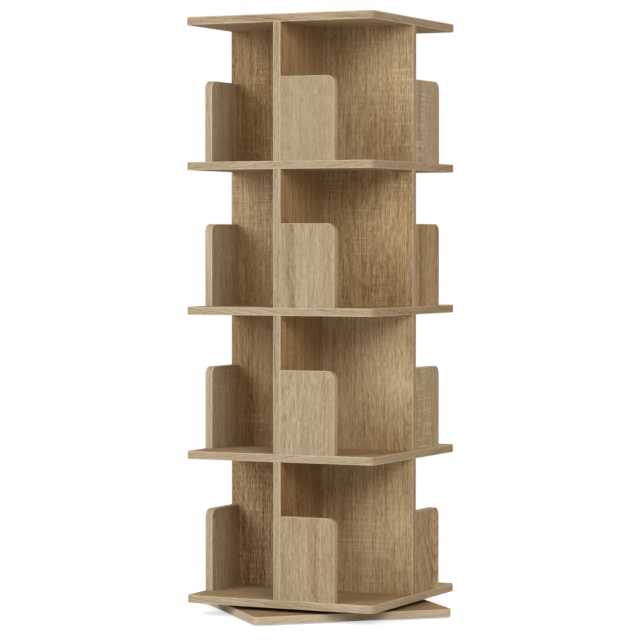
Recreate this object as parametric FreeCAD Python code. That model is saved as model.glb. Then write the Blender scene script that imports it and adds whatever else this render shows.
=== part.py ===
import FreeCAD, Part
import math
import os

from FreeCAD import Vector

# Revolving bookcase of four tiers, in millimetres, +Z up. The origin is the middle of the
# footprint on the floor, Z is the axis that the tower turns on, and X and Y run along the
# tower's edges. The front is -Y. A quarter turn about Z carries each side onto the next.

# Boards of the tower
SHELF_SIDE = 470.0
SHELF_THICKNESS = 18.0
SHELF_CORNER_RADIUS = 12.0
TIER_COUNT = 4
BAY_HEIGHT = 313.0
ARRIS_RADIUS = 1.0
UPRIGHT_THICKNESS = 18.0
UPRIGHT_OFFSET = 3.0
BOOKEND_LENGTH = 134.0
BOOKEND_HEIGHT = 190.0
BOOKEND_THICKNESS = 18.0
BOOKEND_CORNER_RADIUS = 20.0

# Base board and the pads under it
BASE_SIDE = 470.0
BASE_THICKNESS = 18.0
BASE_CORNER_RADIUS = 12.0
BASE_TURN = 43.2
PAD_DIAMETER = 40.0
PAD_THICKNESS = 3.0
PAD_INSET = 40.0

# Turntable between the base and the bottom shelf
TURNTABLE_HEIGHT = 9.5
RACE_RADIUS = 140.0
RING_GAP = 2.4
RING_WALL = 5.0
RING_FLANGE_WIDTH = 16.0
BASE_RING_FLANGE_THICKNESS = 4.5
TOWER_RING_FLANGE_THICKNESS = 2.5
RING_END_CLEARANCE = 0.8
BALL_DIAMETER = 5.0
BALL_COUNT = 36
BALL_CLEARANCE = 0.2
CAGE_THICKNESS = 1.2
CAGE_HEIGHT = 7.0
CAGE_CLEARANCE = 0.15
RING_SCREW_COUNT = 6
RING_SCREW_START = 45.0
RING_SCREW_DIAMETER = 4.0
RING_SCREW_HEAD_DIAMETER = 8.0
RING_SCREW_HEAD_HEIGHT = 2.2
RING_SCREW_SOCKET_WIDTH = 2.5
BASE_SCREW_SHORTFALL = 0.5
TOWER_SCREW_GRIP = 11.5

# Dowels, cam bolts and cam locks that hold the uprights between the shelves
DOWEL_DIAMETER = 8.0
DOWEL_DEPTH = 20.0
DOWEL_BLIND_DEPTH = 12.0
DOWEL_CHAMFER = 1.0
DOWEL_END_DISTANCE = 32.0
BOLT_DIAMETER = 6.0
BOLT_NECK_DIAMETER = 4.0
BOLT_NECK_LENGTH = 5.0
BOLT_HEAD_LENGTH = 3.0
BOLT_THREAD_DEPTH = 11.0
CAM_DIAMETER = 15.0
CAM_HEIGHT = 12.5
CAM_RECESS = 0.5
CAM_EDGE_DISTANCE = 24.0
CAM_PLAY = 0.3
CAM_SLOT_WIDTH = 1.6
CAM_SLOT_DEPTH = 2.5
CAP_DIAMETER = 18.0
CAP_THICKNESS = 1.2
CAP_CHAMFER = 0.5

# Screws that hold the bookends down on the shelves
BOOKEND_SCREW_LENGTH = 48.0
BOOKEND_SCREW_DIAMETER = 5.0
BOOKEND_SCREW_HEAD_DIAMETER = 10.0
BOOKEND_SCREW_HEAD_HEIGHT = 4.0
BOOKEND_SCREW_SOCKET_WIDTH = 4.0
BOOKEND_SCREW_END_DISTANCE = 32.0
BOOKEND_DOWEL_HEIGHT_SHARES = (0.25, 0.75)
SCREW_SOCKET_DEPTH_SHARE = 0.7

# Fits and cuts
FIT_CLEARANCE = 0.1
END_CLEARANCE = 1.0
OVERRUN = 5.0
LEVEL_TOLERANCE = 0.001

# Levels and places that follow from the sizes above
BASE_BOTTOM = PAD_THICKNESS
BASE_TOP = BASE_BOTTOM + BASE_THICKNESS
TOWER_BOTTOM = BASE_TOP + TURNTABLE_HEIGHT
BALL_LEVEL = BASE_TOP + TURNTABLE_HEIGHT / 2
TIER_PITCH = SHELF_THICKNESS + BAY_HEIGHT
SHELF_LEVELS = [TOWER_BOTTOM + TIER_PITCH * number for number in range(TIER_COUNT + 1)]
TIER_LEVELS = [level + SHELF_THICKNESS for level in SHELF_LEVELS[:-1]]
FRONT = -SHELF_SIDE / 2
UPRIGHT_LEFT = -UPRIGHT_THICKNESS / 2 - UPRIGHT_OFFSET
UPRIGHT_RIGHT = UPRIGHT_THICKNESS / 2 - UPRIGHT_OFFSET
UPRIGHT_INNER_END = -UPRIGHT_RIGHT
DOWEL_PLACES = (FRONT + DOWEL_END_DISTANCE, UPRIGHT_INNER_END - DOWEL_END_DISTANCE)
BOLT_PLACE = sum(DOWEL_PLACES) / 2
BOOKEND_MIDDLE = FRONT + BOOKEND_THICKNESS / 2
BOOKEND_SCREW_PLACES = (
    UPRIGHT_RIGHT + BOOKEND_SCREW_END_DISTANCE,
    UPRIGHT_RIGHT + BOOKEND_LENGTH - BOOKEND_SCREW_END_DISTANCE,
)
BOOKEND_DOWEL_HEIGHTS = [BOOKEND_HEIGHT * share for share in BOOKEND_DOWEL_HEIGHT_SHARES]
OUTER_WALL_RADIUS = RACE_RADIUS + RING_GAP / 2
INNER_WALL_RADIUS = RACE_RADIUS - RING_GAP / 2
BASE_SCREW_LENGTH = BASE_THICKNESS + BASE_RING_FLANGE_THICKNESS - BASE_SCREW_SHORTFALL
TOWER_SCREW_LENGTH = TOWER_RING_FLANGE_THICKNESS + TOWER_SCREW_GRIP
BASE_SCREW_RADIUS = OUTER_WALL_RADIUS + RING_WALL + RING_FLANGE_WIDTH / 2
TOWER_SCREW_RADIUS = INNER_WALL_RADIUS - RING_WALL - RING_FLANGE_WIDTH / 2
RING_SCREW_ANGLES = [RING_SCREW_START + 360 * number / RING_SCREW_COUNT for number in range(RING_SCREW_COUNT)]

# The sides in the order of quarter turns, and which face of each upright its cam locks are
# let into: -1 is the left face seen from outside, 1 the right one. All of them end up
# facing away from the corner between the front and the right side.
SIDES = ("front", "right", "back", "left")
CAM_FACES = {"front": -1, "right": 1, "back": 1, "left": -1}

ORIGIN = Vector(0, 0, 0)
X_AXIS = Vector(1, 0, 0)
Y_AXIS = Vector(0, 1, 0)
Z_AXIS = Vector(0, 0, 1)


def to_side(shape, side):
    """A copy of a shape of the front side, turned to the named side."""
    return shape.rotated(ORIGIN, Z_AXIS, 90 * SIDES.index(side))


def on_every_side(shapes):
    """Copies of shapes of the front side on all four sides."""
    return [to_side(shape, side) for side in SIDES for shape in shapes]


def turned(outline):
    """Solid of revolution about Z of a closed outline of (radius, height) points."""
    points = [Vector(radius, 0, height) for radius, height in outline]
    return Part.Face(Part.makePolygon(points + points[:1])).revolve(ORIGIN, Z_AXIS, 360)


def ring(inner_radius, outer_radius, bottom, top):
    """Plain ring about Z."""
    return turned([(inner_radius, bottom), (outer_radius, bottom), (outer_radius, top), (inner_radius, top)])


def drill(diameter, x, y, bottom, top):
    """Upright cylinder that cuts a hole with the fit's clearance all round."""
    return Part.makeCylinder(diameter / 2 + FIT_CLEARANCE, top - bottom, Vector(x, y, bottom))


def is_level(edge):
    """True for an edge whose ends lie at one height."""
    return abs(edge.Vertexes[0].Z - edge.Vertexes[-1].Z) < LEVEL_TOLERANCE


def rounded_board(side, thickness, corner_radius):
    """Square board centred on Z with its underside at zero, rounded corners and eased arrises."""
    board = Part.makeBox(side, side, thickness, Vector(-side / 2, -side / 2, 0))
    board = board.makeFillet(corner_radius, [edge for edge in board.Edges if not is_level(edge)])
    return board.makeFillet(ARRIS_RADIUS, [edge for edge in board.Edges if is_level(edge)])


# Fasteners, each along Z


def dowel(length):
    """Fluted dowel as a plain pin with chamfered ends, from zero up."""
    radius = DOWEL_DIAMETER / 2
    tip_radius = radius - DOWEL_CHAMFER
    return turned([
        (0, 0),
        (tip_radius, 0),
        (radius, DOWEL_CHAMFER),
        (radius, length - DOWEL_CHAMFER),
        (tip_radius, length),
        (0, length),
    ])


def bolt_end(reach):
    """Outline of a cam bolt's end above zero: shank, neck and head, up to its tip."""
    radius = BOLT_DIAMETER / 2
    neck_radius = BOLT_NECK_DIAMETER / 2
    head_bottom = reach - BOLT_HEAD_LENGTH
    neck_bottom = head_bottom - BOLT_NECK_LENGTH
    return [
        (radius, neck_bottom),
        (neck_radius, neck_bottom),
        (neck_radius, head_bottom),
        (radius, head_bottom),
        (radius, reach),
        (0, reach),
    ]


def double_cam_bolt():
    """Bolt with a head at both ends, centred on zero, for a shelf between two uprights."""
    upper = bolt_end(SHELF_THICKNESS / 2 + CAM_EDGE_DISTANCE + BOLT_HEAD_LENGTH / 2)
    lower = [(radius, -height) for radius, height in reversed(upper)]
    return turned(upper + lower)


def single_cam_bolt():
    """Bolt that stands in a board whose face is at zero and reaches up into a cam lock."""
    upper = bolt_end(CAM_EDGE_DISTANCE + BOLT_HEAD_LENGTH / 2)
    return turned(upper + [(0, -BOLT_THREAD_DEPTH), (BOLT_DIAMETER / 2, -BOLT_THREAD_DEPTH)])


def countersunk_screw(length, diameter, head_diameter, head_height, socket_width):
    """Screw that points down, with the flat of its countersunk head at zero and a hexagon socket."""
    radius = diameter / 2
    body = turned([
        (0, 0),
        (head_diameter / 2, 0),
        (radius, -head_height),
        (radius, diameter - length),
        (0, -length),
    ])
    corner_radius = socket_width / math.sqrt(3)
    corners = [Vector(corner_radius, 0, 0)]
    for number in range(1, 6):
        angle = number * math.pi / 3
        corners.append(Vector(corner_radius * math.cos(angle), corner_radius * math.sin(angle), 0))
    socket = Part.Face(Part.makePolygon(corners + corners[:1]))
    socket_depth = head_height * SCREW_SOCKET_DEPTH_SHARE
    return body.cut(socket.extrude(Vector(0, 0, -socket_depth)))


def countersunk_bore(length, diameter, head_diameter, head_height):
    """Cut for the screw above: its outline with the fit's clearance, open at the head."""
    radius = diameter / 2 + FIT_CLEARANCE
    head_radius = head_diameter / 2 + FIT_CLEARANCE
    return turned([
        (0, OVERRUN),
        (head_radius, OVERRUN),
        (head_radius, 0),
        (radius, -head_height),
        (radius, -length - END_CLEARANCE),
        (0, -length - END_CLEARANCE),
    ])


def upended(shape):
    """A copy of a shape turned over about X, so that what pointed down points up."""
    return shape.rotated(ORIGIN, X_AXIS, 180)


def bookend_screw():
    """Screw that points up from a shelf's underside at zero into a bookend."""
    return upended(countersunk_screw(BOOKEND_SCREW_LENGTH, BOOKEND_SCREW_DIAMETER,
                                     BOOKEND_SCREW_HEAD_DIAMETER, BOOKEND_SCREW_HEAD_HEIGHT,
                                     BOOKEND_SCREW_SOCKET_WIDTH))


def bookend_screw_bore():
    """Cut for a bookend's screw through its shelf and up into it."""
    return upended(countersunk_bore(BOOKEND_SCREW_LENGTH, BOOKEND_SCREW_DIAMETER,
                                    BOOKEND_SCREW_HEAD_DIAMETER, BOOKEND_SCREW_HEAD_HEIGHT))


def ring_screw(length):
    """Screw of a ring that points up, with the flat of its head at zero."""
    return upended(countersunk_screw(length, RING_SCREW_DIAMETER, RING_SCREW_HEAD_DIAMETER,
                                     RING_SCREW_HEAD_HEIGHT, RING_SCREW_SOCKET_WIDTH))


def ring_screw_bore(length):
    """Cut for a ring's screw through what its head bears on and into what it holds."""
    return upended(countersunk_bore(length, RING_SCREW_DIAMETER, RING_SCREW_HEAD_DIAMETER,
                                    RING_SCREW_HEAD_HEIGHT))


def around_ring(shape, radius, level):
    """Copies of a shape on a circle of screws about Z, at one level."""
    first = shape.translated(Vector(radius, 0, level))
    return [first.rotated(ORIGIN, Z_AXIS, angle) for angle in RING_SCREW_ANGLES]


def base_ring_fixings(make):
    """The screws, or their cuts, that come up through the base into the ring on it."""
    return around_ring(make(BASE_SCREW_LENGTH), BASE_SCREW_RADIUS, BASE_BOTTOM)


def tower_ring_fixings(make):
    """The screws, or their cuts, that come up through the tower's ring into the bottom shelf."""
    return around_ring(make(TOWER_SCREW_LENGTH), TOWER_SCREW_RADIUS,
                       TOWER_BOTTOM - TOWER_RING_FLANGE_THICKNESS)


# Base


def base_board():
    """Board on the floor, turned under the tower, drilled from below for the turntable's screws."""
    board = rounded_board(BASE_SIDE, BASE_THICKNESS, BASE_CORNER_RADIUS)
    board = board.translated(Vector(0, 0, BASE_BOTTOM)).rotated(ORIGIN, Z_AXIS, BASE_TURN)
    return board.cut(base_ring_fixings(ring_screw_bore))


def base_pads():
    """Round pads under the base: one near each corner and one in the middle."""
    out = BASE_SIDE / 2 - PAD_INSET
    places = [(0, 0), (-out, -out), (out, -out), (out, out), (-out, out)]
    pads = [Part.makeCylinder(PAD_DIAMETER / 2, PAD_THICKNESS, Vector(x, y, 0)) for x, y in places]
    return Part.makeCompound(pads).rotated(ORIGIN, Z_AXIS, BASE_TURN)


# Turntable


def race_groove():
    """Ring-shaped cut in which the balls run."""
    return Part.makeTorus(RACE_RADIUS, BALL_DIAMETER / 2 + BALL_CLEARANCE, Vector(0, 0, BALL_LEVEL))


def base_ring():
    """Outer ring on the base: a wall with the race in its bore and a flange outward."""
    wall_outside = OUTER_WALL_RADIUS + RING_WALL
    body = turned([
        (OUTER_WALL_RADIUS, BASE_TOP),
        (wall_outside + RING_FLANGE_WIDTH, BASE_TOP),
        (wall_outside + RING_FLANGE_WIDTH, BASE_TOP + BASE_RING_FLANGE_THICKNESS),
        (wall_outside, BASE_TOP + BASE_RING_FLANGE_THICKNESS),
        (wall_outside, TOWER_BOTTOM - RING_END_CLEARANCE),
        (OUTER_WALL_RADIUS, TOWER_BOTTOM - RING_END_CLEARANCE),
    ])
    return body.cut([race_groove()] + base_ring_fixings(ring_screw_bore))


def tower_ring():
    """Inner ring under the bottom shelf: a wall with the race round it and a flange inward."""
    wall_inside = INNER_WALL_RADIUS - RING_WALL
    body = turned([
        (INNER_WALL_RADIUS, BASE_TOP + RING_END_CLEARANCE),
        (INNER_WALL_RADIUS, TOWER_BOTTOM),
        (wall_inside - RING_FLANGE_WIDTH, TOWER_BOTTOM),
        (wall_inside - RING_FLANGE_WIDTH, TOWER_BOTTOM - TOWER_RING_FLANGE_THICKNESS),
        (wall_inside, TOWER_BOTTOM - TOWER_RING_FLANGE_THICKNESS),
        (wall_inside, BASE_TOP + RING_END_CLEARANCE),
    ])
    return body.cut([race_groove()] + tower_ring_fixings(ring_screw_bore))


def around_race(shape):
    """Copies of a shape at every ball's place in the race."""
    first = shape.translated(Vector(RACE_RADIUS, 0, BALL_LEVEL))
    return [first.rotated(ORIGIN, Z_AXIS, 360 * number / BALL_COUNT) for number in range(BALL_COUNT)]


def ball_cage():
    """Thin ring between the two walls, with a round window for each ball."""
    body = ring(RACE_RADIUS - CAGE_THICKNESS / 2, RACE_RADIUS + CAGE_THICKNESS / 2,
                BALL_LEVEL - CAGE_HEIGHT / 2, BALL_LEVEL + CAGE_HEIGHT / 2)
    window = Part.makeCylinder(BALL_DIAMETER / 2 + CAGE_CLEARANCE, CAGE_THICKNESS * 2,
                               Vector(-CAGE_THICKNESS, 0, 0), X_AXIS)
    return body.cut(around_race(window))


def bearing_balls():
    """Balls between the grooves of the two rings."""
    return Part.makeCompound(around_race(Part.makeSphere(BALL_DIAMETER / 2)))


# Shelves


def upright_holes(dowel_bottom, dowel_top, bolt_bottom, bolt_top):
    """Holes in a shelf for the dowels and bolts of all four uprights, between given heights."""
    holes = [drill(DOWEL_DIAMETER, -UPRIGHT_OFFSET, place, dowel_bottom, dowel_top) for place in DOWEL_PLACES]
    holes.append(drill(BOLT_DIAMETER, -UPRIGHT_OFFSET, BOLT_PLACE, bolt_bottom, bolt_top))
    return on_every_side(holes)


def bookend_holes():
    """Holes in a shelf for the screws that come up into its four bookends."""
    bore = bookend_screw_bore()
    return on_every_side([bore.translated(Vector(x, BOOKEND_MIDDLE, 0)) for x in BOOKEND_SCREW_PLACES])


def shelf_board():
    """Undrilled shelf with its underside at zero."""
    return rounded_board(SHELF_SIDE, SHELF_THICKNESS, SHELF_CORNER_RADIUS)


def bottom_shelf():
    """Lowest shelf: blind holes for the first tier and screw holes for the turntable below."""
    holes = upright_holes(SHELF_THICKNESS - DOWEL_BLIND_DEPTH, SHELF_THICKNESS + OVERRUN,
                          SHELF_THICKNESS - BOLT_THREAD_DEPTH - END_CLEARANCE, SHELF_THICKNESS + OVERRUN)
    board = shelf_board().cut(holes + bookend_holes()).translated(Vector(0, 0, TOWER_BOTTOM))
    return board.cut(tower_ring_fixings(ring_screw_bore))


def middle_shelf():
    """Shelf between two tiers, drilled right through for both of them."""
    past_top = SHELF_THICKNESS + OVERRUN
    holes = upright_holes(-OVERRUN, past_top, -OVERRUN, past_top)
    return shelf_board().cut(holes + bookend_holes())


def top_board():
    """Board on the top tier, drilled from below only, so that its top is plain."""
    return shelf_board().cut(upright_holes(-OVERRUN, DOWEL_BLIND_DEPTH,
                                           -OVERRUN, BOLT_THREAD_DEPTH + END_CLEARANCE))


# Uprights


def cam_socket(face, height):
    """Where a cam lock's axis meets the upright's face, and the direction into the board."""
    x = UPRIGHT_LEFT if face < 0 else UPRIGHT_RIGHT
    return Vector(x, BOLT_PLACE, height), Vector(-face, 0, 0)


def cam_heights():
    """Heights of the two cam locks in an upright that stands on zero."""
    return CAM_EDGE_DISTANCE, BAY_HEIGHT - CAM_EDGE_DISTANCE


def upright(face):
    """Front upright standing on zero: its outer edge is eased, and it is drilled at both ends
    for dowels and bolts, in one face for the cam locks and in the right one for the bookend."""
    depth = UPRIGHT_INNER_END - FRONT
    board = Part.makeBox(UPRIGHT_THICKNESS, depth, BAY_HEIGHT, Vector(UPRIGHT_LEFT, FRONT, 0))
    outer_edges = [edge for edge in board.Edges
                   if not is_level(edge) and edge.CenterOfMass.y < BOLT_PLACE]
    board = board.makeFillet(ARRIS_RADIUS, outer_edges)
    holes = []
    for bottom, top in ((-OVERRUN, DOWEL_DEPTH), (BAY_HEIGHT - DOWEL_DEPTH, BAY_HEIGHT + OVERRUN)):
        holes += [drill(DOWEL_DIAMETER, -UPRIGHT_OFFSET, place, bottom, top) for place in DOWEL_PLACES]
    bolt_spans = ((-OVERRUN, CAM_EDGE_DISTANCE), (BAY_HEIGHT - CAM_EDGE_DISTANCE, BAY_HEIGHT + OVERRUN))
    for bottom, top in bolt_spans:
        holes.append(drill(BOLT_DIAMETER, -UPRIGHT_OFFSET, BOLT_PLACE, bottom, top))
    socket_depth = CAM_RECESS + CAM_HEIGHT + FIT_CLEARANCE
    for height in cam_heights():
        place, inward = cam_socket(face, height)
        holes.append(Part.makeCylinder(CAM_DIAMETER / 2 + FIT_CLEARANCE, socket_depth + OVERRUN,
                                       place - inward * OVERRUN, inward))
    for height in BOOKEND_DOWEL_HEIGHTS:
        holes.append(bookend_dowel_hole(height, UPRIGHT_RIGHT - DOWEL_BLIND_DEPTH, UPRIGHT_RIGHT + OVERRUN))
    return board.cut(holes)


def cam_lock(face, height):
    """Cam lock of the front upright: a slotted drum with a passage for the bolt's head."""
    place, inward = cam_socket(face, height)
    drum = Part.makeCylinder(CAM_DIAMETER / 2, CAM_HEIGHT, place + inward * CAM_RECESS, inward)
    reach = BOLT_HEAD_LENGTH / 2 + CAM_PLAY
    passage = Part.makeCylinder(BOLT_DIAMETER / 2 + CAM_PLAY, reach + CAM_DIAMETER)
    if height > BAY_HEIGHT / 2:
        passage.translate(Vector(-UPRIGHT_OFFSET, BOLT_PLACE, height - reach))
    else:
        passage.translate(Vector(-UPRIGHT_OFFSET, BOLT_PLACE, height - CAM_DIAMETER))
    slot = Part.makeBox(CAM_SLOT_DEPTH * 2, CAM_DIAMETER, CAM_SLOT_WIDTH)
    slot.translate(place + inward * CAM_RECESS
                   - Vector(CAM_SLOT_DEPTH, CAM_DIAMETER / 2, CAM_SLOT_WIDTH / 2))
    return drum.cut([passage, slot])


def cam_cap(face, height):
    """Thin cap over a cam lock of the front upright, flat against the face."""
    place, inward = cam_socket(face, height)
    radius = CAP_DIAMETER / 2
    cap = turned([
        (0, 0),
        (radius, 0),
        (radius, CAP_THICKNESS - CAP_CHAMFER),
        (radius - CAP_CHAMFER, CAP_THICKNESS),
        (0, CAP_THICKNESS),
    ])
    return cap.rotated(ORIGIN, Y_AXIS, 90 * face).translated(place)


# Bookends


def bookend_dowel_hole(height, start, end):
    """Hole along X for a dowel between the front upright and its bookend."""
    return Part.makeCylinder(DOWEL_DIAMETER / 2 + FIT_CLEARANCE, end - start,
                             Vector(start, BOOKEND_MIDDLE, height), X_AXIS)


def bookend():
    """Front bookend standing on zero against the upright's right face, flush with the shelf's
    edge, with a rounded top corner and eased arrises along its top and free end."""
    block = Part.makeBox(BOOKEND_LENGTH, BOOKEND_THICKNESS, BOOKEND_HEIGHT, Vector(UPRIGHT_RIGHT, FRONT, 0))
    free_end = UPRIGHT_RIGHT + BOOKEND_LENGTH
    corner = [edge for edge in block.Edges
              if edge.CenterOfMass.x > free_end - LEVEL_TOLERANCE
              and edge.CenterOfMass.z > BOOKEND_HEIGHT - LEVEL_TOLERANCE]
    block = block.makeFillet(BOOKEND_CORNER_RADIUS, corner)
    arrises = [edge for edge in block.Edges
               if abs(edge.Vertexes[0].Y - edge.Vertexes[-1].Y) < LEVEL_TOLERANCE
               and edge.CenterOfMass.x > UPRIGHT_RIGHT + LEVEL_TOLERANCE
               and edge.CenterOfMass.z > LEVEL_TOLERANCE]
    block = block.makeFillet(ARRIS_RADIUS, arrises)
    bore = bookend_screw_bore()
    holes = [bore.translated(Vector(x, BOOKEND_MIDDLE, -SHELF_THICKNESS)) for x in BOOKEND_SCREW_PLACES]
    for height in BOOKEND_DOWEL_HEIGHTS:
        holes.append(bookend_dowel_hole(height, UPRIGHT_RIGHT - OVERRUN, UPRIGHT_RIGHT + DOWEL_DEPTH))
    return block.cut(holes)


# Fasteners in their places


def at_dowel_places(pin, level):
    """Copies of a dowel at both places of every upright, from a level up."""
    return on_every_side([pin.translated(Vector(-UPRIGHT_OFFSET, place, level)) for place in DOWEL_PLACES])


def through_dowels():
    """Dowels that pass through each middle shelf into the uprights above and below it."""
    length = SHELF_THICKNESS + 2 * (DOWEL_DEPTH - END_CLEARANCE)
    pin = dowel(length)
    pins = []
    for level in SHELF_LEVELS[1:-1]:
        bottom = level - DOWEL_DEPTH + END_CLEARANCE
        pins += at_dowel_places(pin, bottom)
    return Part.makeCompound(pins)


def end_dowels():
    """Shorter dowels in the blind holes of the bottom shelf and of the top board."""
    pin = dowel(DOWEL_BLIND_DEPTH + DOWEL_DEPTH - 2 * END_CLEARANCE)
    pins = []
    for bottom in (TIER_LEVELS[0] - DOWEL_BLIND_DEPTH + END_CLEARANCE,
                   SHELF_LEVELS[-1] - DOWEL_DEPTH + END_CLEARANCE):
        pins += at_dowel_places(pin, bottom)
    return Part.makeCompound(pins)


def double_cam_bolts():
    """Bolts through the middle shelves."""
    bolt = double_cam_bolt()
    bolts = []
    for level in SHELF_LEVELS[1:-1]:
        middle = Vector(-UPRIGHT_OFFSET, BOLT_PLACE, level + SHELF_THICKNESS / 2)
        bolts += on_every_side([bolt.translated(middle)])
    return Part.makeCompound(bolts)


def single_cam_bolts():
    """Bolts that stand in the bottom shelf and hang from the top board."""
    bolt = single_cam_bolt()
    standing = bolt.translated(Vector(-UPRIGHT_OFFSET, BOLT_PLACE, TIER_LEVELS[0]))
    hanging = upended(bolt).translated(Vector(-UPRIGHT_OFFSET, BOLT_PLACE, SHELF_LEVELS[-1]))
    return Part.makeCompound(on_every_side([standing, hanging]))


def at_every_cam(make):
    """What make(face, height) gives for each cam lock of every upright."""
    shapes = []
    for side in SIDES:
        pair = [to_side(make(CAM_FACES[side], height), side) for height in cam_heights()]
        shapes += [shape.translated(Vector(0, 0, level)) for level in TIER_LEVELS for shape in pair]
    return Part.makeCompound(shapes)


def bookend_dowels():
    """Dowels between every upright and its bookend."""
    pin = dowel(DOWEL_BLIND_DEPTH + DOWEL_DEPTH - 2 * END_CLEARANCE).rotated(ORIGIN, Y_AXIS, 90)
    start = UPRIGHT_RIGHT - DOWEL_BLIND_DEPTH + END_CLEARANCE
    pins = [pin.translated(Vector(start, BOOKEND_MIDDLE, level + height))
            for level in TIER_LEVELS for height in BOOKEND_DOWEL_HEIGHTS]
    return Part.makeCompound(on_every_side(pins))


def bookend_screws():
    """Screws up through every shelf that carries bookends."""
    screw = bookend_screw()
    screws = [screw.translated(Vector(x, BOOKEND_MIDDLE, level))
              for level in SHELF_LEVELS[:-1] for x in BOOKEND_SCREW_PLACES]
    return Part.makeCompound(on_every_side(screws))


def tier_nodes():
    """The uprights and bookends of every tier, by node name."""
    uprights = {face: upright(face) for face in (-1, 1)}
    stop = bookend()
    nodes = {}
    for number, level in enumerate(TIER_LEVELS, start=1):
        for side in SIDES:
            lift = Vector(0, 0, level)
            nodes[f"tier_{number}_upright_{side}"] = to_side(uprights[CAM_FACES[side]], side).translated(lift)
            nodes[f"tier_{number}_bookend_{side}"] = to_side(stop, side).translated(lift)
    return nodes


def shelf_nodes():
    """The five square boards of the tower, by node name."""
    nodes = {"bottom_shelf": bottom_shelf()}
    shelf = middle_shelf()
    for number, level in enumerate(SHELF_LEVELS[1:-1], start=2):
        nodes[f"shelf_{number}"] = shelf.translated(Vector(0, 0, level))
    nodes["top_board"] = top_board().translated(Vector(0, 0, SHELF_LEVELS[-1]))
    return nodes


def all_nodes():
    """Every node of the part, by name."""
    nodes = {
        "base_board": base_board(),
        "base_pads": base_pads(),
        "base_ring": base_ring(),
        "base_ring_screws": Part.makeCompound(base_ring_fixings(ring_screw)),
        "ball_cage": ball_cage(),
        "bearing_balls": bearing_balls(),
        "tower_ring": tower_ring(),
        "tower_ring_screws": Part.makeCompound(tower_ring_fixings(ring_screw)),
    }
    nodes.update(shelf_nodes())
    nodes.update(tier_nodes())
    nodes["through_dowels"] = through_dowels()
    nodes["end_dowels"] = end_dowels()
    nodes["double_cam_bolts"] = double_cam_bolts()
    nodes["single_cam_bolts"] = single_cam_bolts()
    nodes["cam_locks"] = at_every_cam(cam_lock)
    nodes["cam_caps"] = at_every_cam(cam_cap)
    nodes["bookend_dowels"] = bookend_dowels()
    nodes["bookend_screws"] = bookend_screws()
    return nodes


os.makedirs("parts", exist_ok=True)
for name, shape in all_nodes().items():
    shape.exportStep(os.path.join("parts", f"{name}.step"))
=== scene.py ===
import math
import bpy
import numpy as np
from mathutils import Matrix, Vector


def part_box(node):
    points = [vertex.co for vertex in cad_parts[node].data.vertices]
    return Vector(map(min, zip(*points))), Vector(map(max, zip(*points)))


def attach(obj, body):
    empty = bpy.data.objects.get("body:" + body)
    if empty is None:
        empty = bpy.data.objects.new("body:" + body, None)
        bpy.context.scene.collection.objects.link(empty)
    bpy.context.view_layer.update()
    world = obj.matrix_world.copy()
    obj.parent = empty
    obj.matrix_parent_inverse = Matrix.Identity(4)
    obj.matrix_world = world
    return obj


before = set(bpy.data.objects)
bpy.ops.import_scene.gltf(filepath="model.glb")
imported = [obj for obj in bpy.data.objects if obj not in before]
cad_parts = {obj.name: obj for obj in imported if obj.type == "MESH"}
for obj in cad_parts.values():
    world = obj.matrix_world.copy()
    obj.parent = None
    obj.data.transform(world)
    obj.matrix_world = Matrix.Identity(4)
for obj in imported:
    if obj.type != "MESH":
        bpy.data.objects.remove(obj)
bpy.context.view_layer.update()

# Base board: a square of 18 mm chipboard covered in a printed oak foil, lying on its pads.
# It is sawn to size, its corners are rounded, and its drilled underside takes the screws of
# the turntable. The print shows plain-sawn oak with fine pores and the marks of a coarse saw.

BASE_SIDE = 0.470
BASE_CORNER_RADIUS = 0.012
BASE_TURN = math.radians(43.2)
BASE_HEART = (0.06, 0.07, 0.12)
# Its tone and warmth print the base darker and warmer than the shelves: painted shade for the tower's
# shadow on its top.
BASE_FIGURE_AND_SHADE = dict(rings=0.2, grain=1.0, saw_marks=0.5, tone=0.16, warmth=0.8)

# Grains of the print to the metre: across the grain, along it and through the board
PRINT_SCALES = {
    "drift": (9, 1.6, 9), "waver": (38, 11, 38), "dip": (4, 2.4, 4), "bands": (24, 1.3, 24),
    "streaks": (80, 2.4, 80), "fibres": (340, 8, 340), "dashes": (430, 42, 430),
    "flecks": (330, 70, 330), "pores": (1500, 75, 1500), "patches": (13, 6, 13), "cuts": (11, 190, 11),
}
# The values of a mark's noise between which it fades in
PRINT_LIMITS = {"streaks": (0.44, 0.70), "flecks": (0.60, 0.70), "pores": (0.56, 0.66),
                "patches": (0.46, 0.62), "cuts": (0.51, 0.63)}
DRIFT, WAVER, DIP = 0.060, 0.010, 0.030
RINGS_PER_METRE = 150.0
UNEVEN_PER_METRE, UNEVEN_YEARS = 55.0, 3.0
EARLY_WOOD = ((0.22, 0.45), (0.55, 0.05), (0.90, 0.15))
STRIPE_FADE = (1.25, 0.70)
PORES_BY_RING = (0.0, 0.8, 0.5, 1.0)
CUTS_BY_FIBRE = (0.36, 0.60, 1.25, 0.35)
FIBRE_BREAKUP = 0.6
FIBRE_WEIGHT, DASH_WEIGHT, PORE_WEIGHT, FLECK_WEIGHT = 0.55, 0.45, 0.30, -0.15
BAND_WEIGHT, SAW_WEIGHT = 0.30, -0.28
MIDDLE_SHADE = 0.34
PALEST_OAK, DARKEST_OAK = (211, 198, 174), (94, 68, 43)
OAK_SHADES = ((0.35, (183, 167, 139)), (0.65, (157, 136, 106)), (0.85, (126, 100, 70)))
GOLDEN = (1.0, 0.86, 0.66, 1.0)
LEAST_ROUGHNESS, FIBRE_ROUGHNESS, PORE_ROUGHNESS = 0.70, 0.14, 0.14
FIBRE_RELIEF, PORE_RELIEF, SAW_RELIEF = 0.40, -0.55, 0.45
BUMP_STRENGTH = 0.5
BUMP_DEPTH = 0.00035
OAK_SHINE = 0.12
PRINT_SEED = 23
ROLL_REACH = 40


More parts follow.
